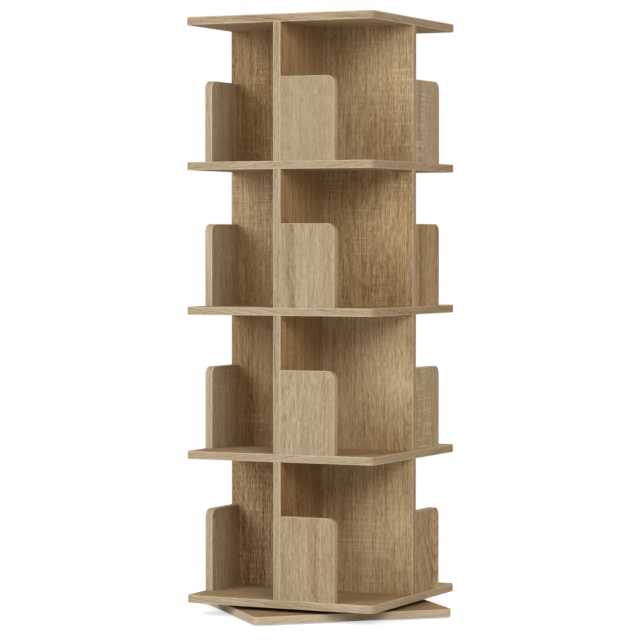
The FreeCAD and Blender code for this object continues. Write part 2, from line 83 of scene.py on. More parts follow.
def seen_as(red, green, blue):
    """A colour as it is seen on a screen, 0 to 255, turned into the light values of a shader."""
    share = np.array([red, green, blue]) / 255
    light = np.where(share <= 0.04045, share / 12.92, ((share + 0.055) / 1.055) ** 2.4)
    return (*light.tolist(), 1.0)


def add(tree, kind, sockets=None, **settings):
    """Adds a shader node, sets its properties and fills its sockets with values or links."""
    made = tree.nodes.new("ShaderNode" + kind)
    for name, value in settings.items():
        setattr(made, name, value)
    for socket, value in (sockets or {}).items():
        if isinstance(value, bpy.types.NodeSocket):
            tree.links.new(value, made.inputs[socket])
        else:
            made.inputs[socket].default_value = value
    return made


def maths(tree, operation, first, second=0.0):
    """One operation on two numbers, as a socket."""
    return add(tree, "Math", {0: first, 1: second}, operation=operation).outputs[0]


def times(tree, first, second):
    """The product of two numbers, as a socket."""
    return maths(tree, "MULTIPLY", first, second)


def summed(tree, *numbers):
    """The total of several numbers, as a socket."""
    total = numbers[0]
    for number in numbers[1:]:
        total = maths(tree, "ADD", total, number)
    return total


def centred(tree, value, weight):
    """A value from 0 to 1 moved to lie about zero and weighted."""
    return times(tree, maths(tree, "SUBTRACT", value, 0.5), weight)


def eased(tree, value, low, high, start=0.0, end=1.0):
    """A value carried smoothly from start to end while it goes from low to high."""
    sockets = {0: value, 1: low, 2: high, 3: start, 4: end}
    return add(tree, "MapRange", sockets, interpolation_type="SMOOTHSTEP").outputs[0]


def tinted(tree, amount, under, over, way="MIX"):
    """One colour laid over another by an amount from 0 to 1."""
    made = add(tree, "Mix", {0: amount, 6: under, 7: over}, data_type="RGBA", blend_type=way)
    return made.outputs[2]


def speckle(tree, place, per_metre, detail=2.0, roughness=0.5):
    """Soft noise from 0 to 1 whose grains are as many to the metre as given along each axis."""
    stretched = add(tree, "VectorMath", {0: place, 1: per_metre}, operation="MULTIPLY")
    sockets = {"Vector": stretched.outputs[0], "Scale": 1.0, "Detail": detail, "Roughness": roughness}
    return add(tree, "TexNoise", sockets).outputs[0]


def line_noise(tree, distance, per_metre, detail):
    """Soft noise from 0 to 1 along one distance, with so many grains to the metre."""
    sockets = {"W": times(tree, distance, per_metre), "Scale": 1.0, "Detail": detail}
    return add(tree, "TexNoise", sockets, noise_dimensions="1D").outputs[0]


def own_place(tree):
    """A piece's own coordinates in metres."""
    return add(tree, "TexCoord").outputs["Object"]


def new_group(name, inputs, outputs):
    """An empty node group with named sockets; returns it with its inner input and output nodes."""
    group = bpy.data.node_groups.new(name, "ShaderNodeTree")
    for label, kind, value in inputs:
        socket = group.interface.new_socket(label, in_out="INPUT", socket_type="NodeSocket" + kind)
        socket.default_value = value
    for label, kind in outputs:
        group.interface.new_socket(label, in_out="OUTPUT", socket_type="NodeSocket" + kind)
    return group, group.nodes.new("NodeGroupInput"), group.nodes.new("NodeGroupOutput")


def make_oak_print():
    """The oak print. Place is measured across the grain, along it and through the board.
    Growth rings are circles about the tree's heart, which lies at a depth under the board and
    leans against it: ring = root((across - side)^2 + (depth + lean * along)^2) / spacing.
    Fibres, dashes, pores, streaks and broad bands are noise stretched along the grain, a stripe
    is one brown band at a set place, and saw marks are long thin rungs across the grain, in
    patches. Their weighted sum runs from pale to dark oak."""
    tree, given, result = new_group(
        "oak_print",
        [("Place", "Vector", (0, 0, 0)), ("Sheet", "Vector", (0, 0, 0)), ("Heart Side", "Float", 0.0),
         ("Heart Depth", "Float", 0.05), ("Heart Lean", "Float", 0.1), ("Rings", "Float", 0.3),
         ("Grain", "Float", 1.0), ("Streaks", "Float", 0.1), ("Stripe Side", "Float", 0.0),
         ("Stripe Width", "Float", 0.01), ("Stripe", "Float", 0.0), ("Saw Marks", "Float", 0.5),
         ("Tone", "Float", 0.0), ("Warmth", "Float", 0.0)],
        [("Color", "Color"), ("Roughness", "Float"), ("Height", "Float")])
    asked = given.outputs
    place = asked["Place"]
    spot = add(tree, "VectorMath", {0: place, 1: asked["Sheet"]}, operation="ADD").outputs[0]
    axes = add(tree, "SeparateXYZ", {0: place}).outputs

    def grains(name, detail=2.0, roughness=0.5):
        """The noise of one mark of the print."""
        return speckle(tree, spot, PRINT_SCALES[name], detail, roughness)

    def marks(name, detail=1.0):
        """The noise of one mark, faded in between its limits."""
        return eased(tree, grains(name, detail), *PRINT_LIMITS[name])

    drift = centred(tree, grains("drift"), DRIFT)
    waver = centred(tree, grains("waver"), WAVER)
    across = summed(tree, axes[0], drift, waver)
    aside = maths(tree, "SUBTRACT", across, asked["Heart Side"])
    leaning = times(tree, axes[1], asked["Heart Lean"])
    below = summed(tree, asked["Heart Depth"], leaning, times(tree, grains("dip"), DIP))
    radius = maths(tree, "SQRT", summed(tree, times(tree, aside, aside), times(tree, below, below)))
    uneven = line_noise(tree, radius, UNEVEN_PER_METRE, detail=1.0)
    years = summed(tree, times(tree, radius, RINGS_PER_METRE), times(tree, uneven, UNEVEN_YEARS))
    early = add(tree, "ValToRGB", {0: maths(tree, "FRACT", years)})
    ramp = early.color_ramp
    ramp.interpolation = "EASE"
    ramp.elements[0].color = (1, 1, 1, 1)
    ramp.elements[1].color = (1, 1, 1, 1)
    for position, shade in EARLY_WOOD:
        ramp.elements.new(position).color = (shade, shade, shade, 1)
    rings = early.outputs[0]

    bands = grains("bands")
    streaks = marks("streaks", detail=2.0)
    from_stripe = maths(tree, "ABSOLUTE", maths(tree, "SUBTRACT", across, asked["Stripe Side"]))
    into_stripe = maths(tree, "DIVIDE", from_stripe, asked["Stripe Width"])
    stripe = times(tree, eased(tree, into_stripe, *STRIPE_FADE), asked["Stripe"])
    fibres = grains("fibres", roughness=FIBRE_BREAKUP)
    dashes = grains("dashes", detail=1.0)
    flecks = marks("flecks")
    pores = times(tree, marks("pores"), eased(tree, rings, *PORES_BY_RING))
    patches = marks("patches")
    cuts = times(tree, marks("cuts", detail=2.0), eased(tree, fibres, *CUTS_BY_FIBRE))
    sawn = times(tree, times(tree, cuts, patches), asked["Saw Marks"])

    fine = summed(tree, centred(tree, fibres, FIBRE_WEIGHT), centred(tree, dashes, DASH_WEIGHT),
                  times(tree, pores, PORE_WEIGHT), times(tree, flecks, FLECK_WEIGHT))
    broad = summed(tree, stripe, centred(tree, bands, BAND_WEIGHT),
                   times(tree, streaks, asked["Streaks"]), times(tree, rings, asked["Rings"]))
    shade = summed(tree, times(tree, fine, asked["Grain"]), broad, times(tree, sawn, SAW_WEIGHT),
                   asked["Tone"], MIDDLE_SHADE)

    oak = add(tree, "ValToRGB", {0: shade})
    oak.color_ramp.elements[0].color = seen_as(*PALEST_OAK)
    oak.color_ramp.elements[1].color = seen_as(*DARKEST_OAK)
    for position, colour in OAK_SHADES:
        oak.color_ramp.elements.new(position).color = seen_as(*colour)
    golden = tinted(tree, asked["Warmth"], oak.outputs[0], GOLDEN, "MULTIPLY")

    rough = summed(tree, times(tree, fibres, FIBRE_ROUGHNESS), times(tree, pores, PORE_ROUGHNESS),
                   LEAST_ROUGHNESS)
    height = summed(tree, times(tree, fibres, FIBRE_RELIEF), times(tree, pores, PORE_RELIEF),
                    times(tree, sawn, SAW_RELIEF))
    tree.links.new(golden, result.inputs["Color"])
    tree.links.new(rough, result.inputs["Roughness"])
    tree.links.new(height, result.inputs["Height"])
    return tree


oak_print = make_oak_print()
sheets = np.random.default_rng(PRINT_SEED)


def next_sheet():
    """The next stretch of the long printed roll, metres away from the others."""
    return tuple(sheets.uniform(-ROLL_REACH, ROLL_REACH, 3).round(3).tolist())


def oak_finish(name, place, heart, **figure):
    """A material of the oak print on a board: a function that makes the place socket, where the
    heart lies to the side, in depth and by its lean, and the strengths of the figure."""
    material = bpy.data.materials.new(name)
    material.use_nodes = True
    tree = material.node_tree
    shader = tree.nodes["Principled BSDF"]
    oak = add(tree, "Group", node_tree=oak_print)
    tree.links.new(place(tree), oak.inputs["Place"])
    oak.inputs["Sheet"].default_value = next_sheet()
    for socket, value in zip(("Heart Side", "Heart Depth", "Heart Lean"), heart):
        oak.inputs[socket].default_value = value
    for socket, value in figure.items():
        oak.inputs[socket.replace("_", " ").title()].default_value = value
    relief = {"Strength": BUMP_STRENGTH, "Distance": BUMP_DEPTH, "Height": oak.outputs["Height"]}
    tree.links.new(oak.outputs["Color"], shader.inputs["Base Color"])
    tree.links.new(oak.outputs["Roughness"], shader.inputs["Roughness"])
    tree.links.new(add(tree, "Bump", relief).outputs[0], shader.inputs["Normal"])
    shader.inputs["Specular IOR Level"].default_value = OAK_SHINE
    return material


def cut_from_print(node, across, along):
    """Place socket of a board: its own coordinates about its middle, turned so that the first
    is across the grain and the second along it."""
    low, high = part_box(node)
    across, along = Vector(across), Vector(along)
    turn = Matrix((across, along, across.cross(along)))
    middle = turn @ ((low + high) / 2)

    def place(tree):
        sockets = {"Vector": own_place(tree), "Location": -middle, "Rotation": turn.to_euler()}
        return add(tree, "Mapping", sockets).outputs[0]
    return place


def dress(node, material):
    """Gives a CAD node one material."""
    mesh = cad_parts[node].data
    mesh.materials.clear()
    mesh.materials.append(material)


base_along = (math.cos(BASE_TURN), math.sin(BASE_TURN), 0)
base_across = (-math.sin(BASE_TURN), math.cos(BASE_TURN), 0)
base_place = cut_from_print("base_board", base_across, base_along)
dress("base_board", oak_finish("base_board_oak", base_place, BASE_HEART, **BASE_FIGURE_AND_SHADE))


# Edging of the base board: a plastic strip in the same oak print, 1 mm thick and as wide as the
# board, glued round all four edges in one run. Its arrises are rounded over and printed paler,
# which paints wear and also the highlight that light makes on the round.

BOARD_THICKNESS = 0.018
ARRIS_RADIUS = 0.001
ARRIS_STEPS = 7
CORNER_STEPS = 10
SHARP_EDGE = math.radians(40)
EDGING_PROUD = 0.00012
EDGING_DEPTH = 0.00115
EDGING_HEART = (0.05, 0.03, 0.02)
EDGING_FIGURE = dict(rings=0.16, grain=0.7, saw_marks=0.1, warmth=0.05)
EDGING_TONE = 0.07
# The paler colour at the arrises is part wear and part a painted highlight of light on the rounded edge.
WORN_HIGHLIGHT_OAK = (222, 204, 176)
WORN_HIGHLIGHT_SHARE = 0.75
WORN_SMOOTHER = 0.10
WORN_HIGHLIGHT_FROM, WORN_HIGHLIGHT_WHOLE = 2.0, 0.9
BREAKS_PER_METRE = (60, 500, 1)
BREAK_LIMITS = (0.35, 0.65, 0.45, 1.0)
BASE_EDGING_SLANT = 0.10
# The base's edging is printed near the palest oak: painted light that makes up for the shadow the tower
# casts on its front edge.
BASE_EDGING_PAINTED_LIGHT_TONE = -0.34


def edging_profile():
    """Closed outline of the strip as (outward, upward) offsets from the middle of a board's
    edge: a rounded arris, the flat, the other arris, and a back let into the board."""
    steps = np.linspace(math.pi / 2, 0, ARRIS_STEPS)
    radius = ARRIS_RADIUS + EDGING_PROUD
    arc_out = radius * np.cos(steps) - ARRIS_RADIUS
    arc_up = radius * np.sin(steps) + BOARD_THICKNESS / 2 - ARRIS_RADIUS
    outward = np.concatenate([arc_out, arc_out[::-1], [-EDGING_DEPTH, -EDGING_DEPTH]])
    back = BOARD_THICKNESS / 2 - ARRIS_RADIUS / 2
    upward = np.concatenate([arc_up, -arc_up[::-1], [-back, back]])
    return np.stack([outward, upward], axis=1)


def carried_along(path, outward, upward, profile, closed):
    """A profile carried along a path: point (i, j) is path i, plus its outward direction times
    the profile's first offset j, plus its upward direction times the second. Returns the
    points, the faces and, for each corner, the length along the path and round the profile."""
    points = (path[:, None, :] + outward[:, None, :] * profile[None, :, :1]
              + upward[:, None, :] * profile[None, :, 1:])
    rows, columns = len(path), len(profile)
    runs = np.linalg.norm(np.diff(np.vstack([path, path[:1]]), axis=0), axis=1)
    along = np.concatenate([[0], np.cumsum(runs)])
    girths = np.linalg.norm(np.diff(np.vstack([profile, profile[:1]]), axis=0), axis=1)
    girth = np.concatenate([[0], np.cumsum(girths)])
    spans = rows if closed else rows - 1
    row, column = np.meshgrid(np.arange(spans), np.arange(columns), indexing="ij")
    row = row.ravel()[:, None] + np.array([[0, 0, 1, 1]])
    column = column.ravel()[:, None] + np.array([[1, 0, 0, 1]])
    quads = (row % rows) * columns + column % columns
    maps = np.stack([along[row], girth[column]], axis=2)
    return points.reshape(-1, 3), quads, maps.reshape(-1, 2)


def strip_object(name, strips, closed):
    """One object of one or more strips, each given as path, outward and upward directions and
    the length along the printed roll where it starts. Open strips get flat ends."""
    profile = edging_profile()
    places, faces, maps, count = [], [], [], 0
    for path, outward, upward, start in strips:
        points, quads, mapped = carried_along(path, outward, upward, profile, closed)
        mapped = mapped + np.array([start, 0])
        ends = []
        if not closed:
            last = len(points) - len(profile)
            ends = [np.arange(len(profile)), np.arange(last, len(points))[::-1]]
            cap = profile[:, ::-1] + np.array([start, 0])
            mapped = np.vstack([mapped, cap, cap[::-1]])
        faces += (quads + count).tolist() + [(end + count).tolist() for end in ends]
        places.append(points)
        maps.append(mapped)
        count += len(points)
    mesh = bpy.data.meshes.new(name)
    mesh.from_pydata(np.vstack(places), [], faces)
    corners = np.vstack(maps).astype(np.float32)
    mesh.uv_layers.new(name="strip").uv.foreach_set("vector", corners.ravel())
    mesh.polygons.foreach_set("use_smooth", np.ones(len(mesh.polygons), bool))
    mesh.set_sharp_from_angle(angle=SHARP_EDGE)
    mesh.validate()
    strip = bpy.data.objects.new(name, mesh)
    bpy.context.scene.collection.objects.link(strip)
    return strip


def round_square(side, corner_radius, level, turn):
    """Path round a square board at one level, with its outward directions: four quarter arcs
    joined by straight runs, turned about the upright axis."""
    arc = np.linspace(0, math.pi / 2, CORNER_STEPS)
    angles = (np.arange(4)[:, None] * math.pi / 2 + arc[None, :]).ravel()
    middles = np.array([[1, 1], [-1, 1], [-1, -1], [1, -1]]) * (side / 2 - corner_radius)
    flat = np.stack([np.cos(angles), np.sin(angles)], axis=1)
    path = np.repeat(middles, CORNER_STEPS, axis=0) + corner_radius * flat
    spin = np.array([[math.cos(turn), math.sin(turn)], [-math.sin(turn), math.cos(turn)]])
    path, flat = path @ spin, flat @ spin
    height = np.full((len(path), 1), level)
    outward = np.hstack([flat, np.zeros((len(flat), 1))])
    return np.hstack([path, height]), outward, np.tile([0.0, 0.0, 1.0], (len(path), 1))


def strip_finish(name, slant, tone=EDGING_TONE):
    """The oak print on a strip, its grain along the strip and a little aslant, with its two
    arrises paler and smoother in broken lengths; the paler colour is wear and a painted highlight."""
    def place(tree):
        own = add(tree, "UVMap", uv_map="strip").outputs[0]
        return add(tree, "Mapping", {"Vector": own, "Rotation": (0, 0, math.pi / 2 + slant)}).outputs[0]
    material = oak_finish(name, place, EDGING_HEART, tone=tone, **EDGING_FIGURE)
    tree = material.node_tree
    shader = tree.nodes["Principled BSDF"]
    own = add(tree, "UVMap", uv_map="strip").outputs[0]
    arc = (ARRIS_RADIUS + EDGING_PROUD) * math.pi / 2
    half = arc + BOARD_THICKNESS / 2 - ARRIS_RADIUS
    girth = add(tree, "SeparateXYZ", {0: own}).outputs[1]
    off_middle = maths(tree, "ABSOLUTE", maths(tree, "SUBTRACT", girth, half))
    # Paler, smoother bands along both arrises, broken into lengths: wear, and a painted highlight where
    # light catches the round.
    arris = eased(tree, off_middle, half - arc * WORN_HIGHLIGHT_FROM, half - arc * WORN_HIGHLIGHT_WHOLE)
    rubbed = eased(tree, speckle(tree, own, BREAKS_PER_METRE, detail=3.0), *BREAK_LIMITS)
    wear_and_highlight = times(tree, arris, rubbed)
    colour = shader.inputs["Base Color"].links[0].from_socket
    paler = tinted(tree, times(tree, wear_and_highlight, WORN_HIGHLIGHT_SHARE), colour, seen_as(*WORN_HIGHLIGHT_OAK))
    tree.links.new(paler, shader.inputs["Base Color"])
    rough = shader.inputs["Roughness"].links[0].from_socket
    smoother = maths(tree, "SUBTRACT", rough, times(tree, wear_and_highlight, WORN_SMOOTHER))
    tree.links.new(smoother, shader.inputs["Roughness"])
    return material


def fit_strip(strip, material, body):
    """Finishes a strip and sends it with its body."""
    strip.data.materials.append(material)
    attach(strip, body)


def board_strip(node, side, corner_radius, turn, start):
    """Path, directions and start of the strip round a square board."""
    low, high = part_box(node)
    return (*round_square(side, corner_radius, (low.z + high.z) / 2, turn), start)


strips = [board_strip("base_board", BASE_SIDE, BASE_CORNER_RADIUS, BASE_TURN, 0.0)]
fit_strip(strip_object("base_board_edging", strips, True),
          strip_finish("base_edging_oak", BASE_EDGING_SLANT, BASE_EDGING_PAINTED_LIGHT_TONE), "base")


# Pads: five round pieces of black rubber, 3 mm thick, stuck under the base board so that it
# neither slides nor scratches. They are punched from ribbed sheet.

RUBBER, DUSTY_RUBBER = (28, 28, 28), (58, 56, 53)
RUBBER_SHINE = 0.3
RUBBER_ROUGHNESS = (0.72, 0.92)
RIB_SCALE = 105.0
RIB_DEPTH = 0.0004
BLOOM_PER_METRE, BLOOM_LIMITS = (90, 90, 90), (0.35, 0.7)
GRIT_PER_METRE = (2200, 2200, 2200)
GRIT_RELIEF = 0.3
NOISE_LOW, NOISE_HIGH = 0.3, 0.7


def plain_finish(name, shine=0.5, metal=0.0):
    """A new material with its tree and shader."""
    material = bpy.data.materials.new(name)
    material.use_nodes = True
    shader = material.node_tree.nodes["Principled BSDF"]
    shader.inputs["Specular IOR Level"].default_value = shine
    shader.inputs["Metallic"].default_value = metal
    return material, material.node_tree, shader


def finish_with(tree, shader, colour, roughness, height, depth):
    """Links a colour, a roughness and a relief of a given depth to a shader."""
    bump = add(tree, "Bump", {"Strength": BUMP_STRENGTH, "Distance": depth, "Height": height})
    tree.links.new(colour, shader.inputs["Base Color"])
    tree.links.new(roughness, shader.inputs["Roughness"])
    tree.links.new(bump.outputs[0], shader.inputs["Normal"])


def spread(tree, noise, start=0.0, end=1.0):
    """Noise, which keeps near its middle, carried over the whole range from start to end."""
    return eased(tree, noise, NOISE_LOW, NOISE_HIGH, start, end)


def rubber_finish():
    """Black rubber with ribs three millimetres apart and a dusty bloom."""
    material, tree, shader = plain_finish("pad_rubber", RUBBER_SHINE)
    own = own_place(tree)
    sockets = {"Vector": own, "Scale": RIB_SCALE, "Distortion": 0.0}
    ribs = add(tree, "TexWave", sockets, wave_profile="SIN").outputs[1]
    bloom = eased(tree, speckle(tree, own, BLOOM_PER_METRE, detail=4.0), *BLOOM_LIMITS)
    grit = speckle(tree, own, GRIT_PER_METRE)
    colour = tinted(tree, bloom, seen_as(*RUBBER), seen_as(*DUSTY_RUBBER))
    roughness = spread(tree, grit, *RUBBER_ROUGHNESS)
    height = summed(tree, ribs, times(tree, grit, GRIT_RELIEF))
    finish_with(tree, shader, colour, roughness, height, RIB_DEPTH)
    return material


dress("base_pads", rubber_finish())


# Rings of the turntable: two rings turned from extruded aluminium, the outer one screwed to the
# base and the inner one under the tower. Each has half of the ball race and a drilled flange.

CLOUDS_PER_METRE, CLOUD_LIMITS = (30, 30, 30), (0.35, 0.70)
SCRATCHES_PER_METRE, SCRATCH_LIMITS = (900, 30, 60), (0.70, 0.78)
CROSSING_PER_METRE, CROSSING_LIMITS = (40, 800, 50), (0.71, 0.79)
DARK_LINE, LIGHT_LINE = (190, 192, 195), (214, 216, 218)
DULL_ALUMINIUM, SCRATCHED_ALUMINIUM = (168, 169, 171), (232, 233, 235)
LATHE_LINES_PER_METRE = 6500.0
LATHE_ROUGHNESS = (0.26, 0.38)
LATHE_DEPTH = 0.00005
ALUMINIUM_CLOUDS, ALUMINIUM_ROUGHER = 0.4, 0.12


def make_handling():
    """Marks that metal takes in the works: broad dull clouds and fine straight scratches, which
    are noise stretched along two crossing directions and kept where it is highest."""
    tree, given, result = new_group(
        "handling_marks", [("Place", "Vector", (0, 0, 0)), ("Amount", "Float", 1.0)],
        [("Dull", "Float"), ("Scratch", "Float")])
    place, amount = given.outputs["Place"], given.outputs["Amount"]
    dull = eased(tree, speckle(tree, place, CLOUDS_PER_METRE, detail=4.0), *CLOUD_LIMITS)
    one = eased(tree, speckle(tree, place, SCRATCHES_PER_METRE, detail=1.0), *SCRATCH_LIMITS)
    other = eased(tree, speckle(tree, place, CROSSING_PER_METRE, detail=1.0), *CROSSING_LIMITS)
    scratch = maths(tree, "MAXIMUM", one, other)
    tree.links.new(times(tree, dull, amount), result.inputs["Dull"])
    tree.links.new(times(tree, scratch, amount), result.inputs["Scratch"])
    return tree


handling_marks = make_handling()


def handled(tree, place, amount=1.0):
    """The two marks of handling at a place: dull clouds and scratches."""
    made = add(tree, "Group", node_tree=handling_marks)
    tree.links.new(place, made.inputs["Place"])
    made.inputs["Amount"].default_value = amount
    return made.outputs["Dull"], made.outputs["Scratch"]


def turned_aluminium():
    """Satin aluminium with the fine circular lines of the lathe: noise along the distance from
    the axis, dulled in clouds."""
    material, tree, shader = plain_finish("ring_aluminium", metal=1.0)
    own = own_place(tree)
    flat = add(tree, "VectorMath", {0: own, 1: (1, 1, 0)}, operation="MULTIPLY").outputs[0]
    radius = add(tree, "VectorMath", {0: flat}, operation="LENGTH").outputs["Value"]
    lines = line_noise(tree, radius, LATHE_LINES_PER_METRE, detail=2.0)
    dull, scratch = handled(tree, own)
    colour = tinted(tree, lines, seen_as(*DARK_LINE), seen_as(*LIGHT_LINE))
    colour = tinted(tree, times(tree, dull, ALUMINIUM_CLOUDS), colour, seen_as(*DULL_ALUMINIUM))
    colour = tinted(tree, scratch, colour, seen_as(*SCRATCHED_ALUMINIUM))
    roughness = summed(tree, spread(tree, lines, *LATHE_ROUGHNESS), times(tree, dull, ALUMINIUM_ROUGHER))
    height = maths(tree, "SUBTRACT", lines, scratch)
    finish_with(tree, shader, colour, roughness, height, LATHE_DEPTH)
    return material


turntable_aluminium = turned_aluminium()
dress("base_ring", turntable_aluminium)


# Screws: countersunk steel screws with a hexagon socket, zinc-plated. They come up through the
# base into its ring, through the tower's ring into the lowest shelf, and through the shelves.

DARK_SPANGLE, LIGHT_SPANGLE, DULL_PLATING = (178, 178, 172), (204, 203, 196), (160, 154, 138)
SPANGLES_PER_METRE = 1400.0
SPANGLE_RELIEF = 0.4
PLATING_ROUGHNESS = (0.26, 0.36)
PLATING_DEPTH = 0.00004
PLATING_CLOUDS, PLATING_ROUGHER = 0.5, 0.15


def plated_steel():
    """Bright zinc plating: small spangles of differing grey and warm tint, dull in clouds."""
    material, tree, shader = plain_finish("plated_steel", metal=1.0)
    own = own_place(tree)
    cells = add(tree, "TexVoronoi", {"Vector": own, "Scale": SPANGLES_PER_METRE}).outputs["Color"]
    spangle = add(tree, "SeparateColor", {0: cells}).outputs[0]
    dull, scratch = handled(tree, own)
    colour = tinted(tree, spangle, seen_as(*DARK_SPANGLE), seen_as(*LIGHT_SPANGLE))
    colour = tinted(tree, times(tree, dull, PLATING_CLOUDS), colour, seen_as(*DULL_PLATING))
    plating = eased(tree, spangle, 0.0, 1.0, *PLATING_ROUGHNESS)
    roughness = summed(tree, plating, times(tree, dull, PLATING_ROUGHER))
    height = maths(tree, "SUBTRACT", times(tree, spangle, SPANGLE_RELIEF), scratch)
    finish_with(tree, shader, colour, roughness, height, PLATING_DEPTH)
    return material


screw_steel = plated_steel()
dress("base_ring_screws", screw_steel)


# Ball race: a thin moulded ring of natural nylon with a round window for each of 36 steel
# balls. It keeps the balls apart while they roll between the two aluminium rings.

DARK_NYLON, LIGHT_NYLON, GREASY_NYLON = (226, 222, 208), (238, 235, 224), (196, 182, 142)
NYLON_SHINE, NYLON_ROUGHNESS = 0.45, 0.52
MOTTLE_PER_METRE, MOULD_PER_METRE = (140, 140, 140), (3500, 3500, 3500)
MOULD_DEPTH = 0.00005
GREASE_PER_METRE, GREASE_LIMITS = (45, 45, 300), (0.45, 0.65)
GREASE_SHARE, GREASE_SMOOTHER = 0.35, 0.22
BALL_STEEL, SMEARED_STEEL = (212, 214, 217), (186, 180, 162)
BALL_ROUGHNESS, SMEAR_ROUGHER = 0.08, 0.12
BALL_HANDLING = 0.6
SMEAR_PER_METRE, SMEAR_LIMITS = (420, 420, 420), (0.48, 0.66)
SMEAR_SHARE = 0.4
HAIRLINE_DEPTH = 0.00002


def moulded_nylon():
    """Natural nylon, faintly mottled, with a fine moulded texture and grease in clouds."""
    material, tree, shader = plain_finish("cage_nylon", NYLON_SHINE)
    own = own_place(tree)
    mottle = speckle(tree, own, MOTTLE_PER_METRE, detail=3.0)
    texture = speckle(tree, own, MOULD_PER_METRE, detail=1.0)
    greasy = eased(tree, speckle(tree, own, GREASE_PER_METRE), *GREASE_LIMITS)
    colour = tinted(tree, mottle, seen_as(*DARK_NYLON), seen_as(*LIGHT_NYLON))
    colour = tinted(tree, times(tree, greasy, GREASE_SHARE), colour, seen_as(*GREASY_NYLON))
    roughness = maths(tree, "SUBTRACT", NYLON_ROUGHNESS, times(tree, greasy, GREASE_SMOOTHER))
    finish_with(tree, shader, colour, roughness, texture, MOULD_DEPTH)
    return material


def polished_ball():
    """Polished bearing steel, with a thin smear of grease and a few hairline marks."""
    material, tree, shader = plain_finish("ball_steel", metal=1.0)
    own = own_place(tree)
    dull, scratch = handled(tree, own, BALL_HANDLING)
    smear = eased(tree, speckle(tree, own, SMEAR_PER_METRE), *SMEAR_LIMITS)
    colour = tinted(tree, times(tree, smear, SMEAR_SHARE), seen_as(*BALL_STEEL), seen_as(*SMEARED_STEEL))
    roughness = summed(tree, times(tree, summed(tree, smear, dull), SMEAR_ROUGHER), BALL_ROUGHNESS)
    finish_with(tree, shader, colour, roughness, scratch, HAIRLINE_DEPTH)
    return material


dress("ball_cage", moulded_nylon())
dress("bearing_balls", polished_ball())


# Tower ring and its screws: the inner ring of the turntable, turned from the same aluminium as
# the outer one. Its countersunk screws go up through its flange into the lowest shelf.

dress("tower_ring", turntable_aluminium)
dress("tower_ring_screws", screw_steel)


# Shelves and top board: five squares of the same board, one to each level, with rounded
# corners. Their print runs from side to side, and each is drilled for what stands on it.

SHELF_SIDE = 0.470
SHELF_CORNER_RADIUS = 0.012
SHELF_FIGURE = dict(rings=0.2, grain=1.0, saw_marks=0.5, tone=0.06, warmth=0.65)
SHELF_HEARTS = {
    "bottom_shelf": (-0.05, 0.06, 0.10),
    "shelf_2": (0.12, 0.05, 0.08),
    "shelf_3": (-0.14, 0.08, -0.09),
    "shelf_4": (0.04, 0.05, 0.12),
    "top_board": (-0.03, 0.07, -0.11),
}
for shelf, heart in SHELF_HEARTS.items():
    shelf_place = cut_from_print(shelf, (0, -1, 0), (1, 0, 0))
    dress(shelf, oak_finish(shelf + "_oak", shelf_place, heart, **SHELF_FIGURE))


# Edging of the shelves: the same oak-print strip as on the base, glued once round each shelf.
# Each strip is cut from another length of the roll, and its slant differs a little. Its tone runs
# from palest on the lowest shelf to darkest on the top board, set to match how each edge is lit,
# so it paints in part light and shade.

# Tones by level: paler low, darker high, painting in part how the light falls on each edge.
SHELF_EDGING_TONES_BY_LIGHT = (-0.10, 0.02, 0.02, 0.08, 0.09)
SHELF_EDGING_SLANTS = (-0.11, 0.14, -0.11, 0.14, -0.11)
SHELF_ROLL_STEP = 2.3
for number, shelf in enumerate(SHELF_HEARTS):
    edging = shelf + "_edging"
    slant, tone = SHELF_EDGING_SLANTS[number], SHELF_EDGING_TONES_BY_LIGHT[number]
    strips = [board_strip(shelf, SHELF_SIDE, SHELF_CORNER_RADIUS, 0.0, SHELF_ROLL_STEP * number)]
    fit_strip(strip_object(edging, strips, True), strip_finish(edging + "_oak", slant, tone), "tower")


# Uprights: four boards to a tier, standing between two shelves like the arms of a pinwheel.
# They are of the same board, with the print upright, held by dowels and cam locks. Their tone and
# warmth are set board by board: warm throughout, darker on the front uprights and most left ones,
# paler on the right ones. This paints the shade inside the bays, together with the boards' own hue.

SIDES = ("front", "right", "back", "left")
TIERS = (1, 2, 3, 4)
FACING_SIDEWAYS = ((0, 1, 0), (0, 0, 1))
FACING_FORWARD = ((1, 0, 0), (0, 0, 1))
HEART_LEAST, HEART_MOST = (-0.30, 0.03, 0.06), (0.30, 0.08, 0.18)
# The warm, darker and paler tones below are painted shade of the bays as well as print.
UPRIGHT_FIGURE_AND_SHADE = dict(rings=0.10, grain=1.7, saw_marks=0.9, tone=-0.08, warmth=0.9)
FRONT_UPRIGHT_FIGURE_AND_SHADE = dict(rings=0.10, grain=0.9, streaks=0.10, saw_marks=0.4, tone=0.16, warmth=0.9)
UPRIGHT_FIGURES_AND_SHADE = {
    (1, "front"): dict(tone=0.28),
    (3, "front"): dict(tone=0.19),
    (1, "right"): dict(tone=-0.15, warmth=0.75),
    (2, "right"): dict(saw_marks=0.4, tone=-0.21, warmth=0.75),
    (3, "right"): dict(tone=-0.03),
    (4, "right"): dict(warmth=0.75),
    (1, "left"): dict(grain=2.4, tone=0.04),
    (2, "left"): dict(grain=1.05, tone=0.16),
    (3, "left"): dict(saw_marks=0.7, tone=-0.06),
    (4, "left"): dict(grain=1.3, tone=0.13, warmth=1.0),
}
HEART_SEED = 5
hearts = np.random.default_rng(HEART_SEED)


def next_heart():
    """Where the heart lies for the next board: to one side, how deep, and its lean."""
    side, depth, lean = hearts.uniform(HEART_LEAST, HEART_MOST).round(4)
    return side, depth, lean * hearts.choice((-1, 1))


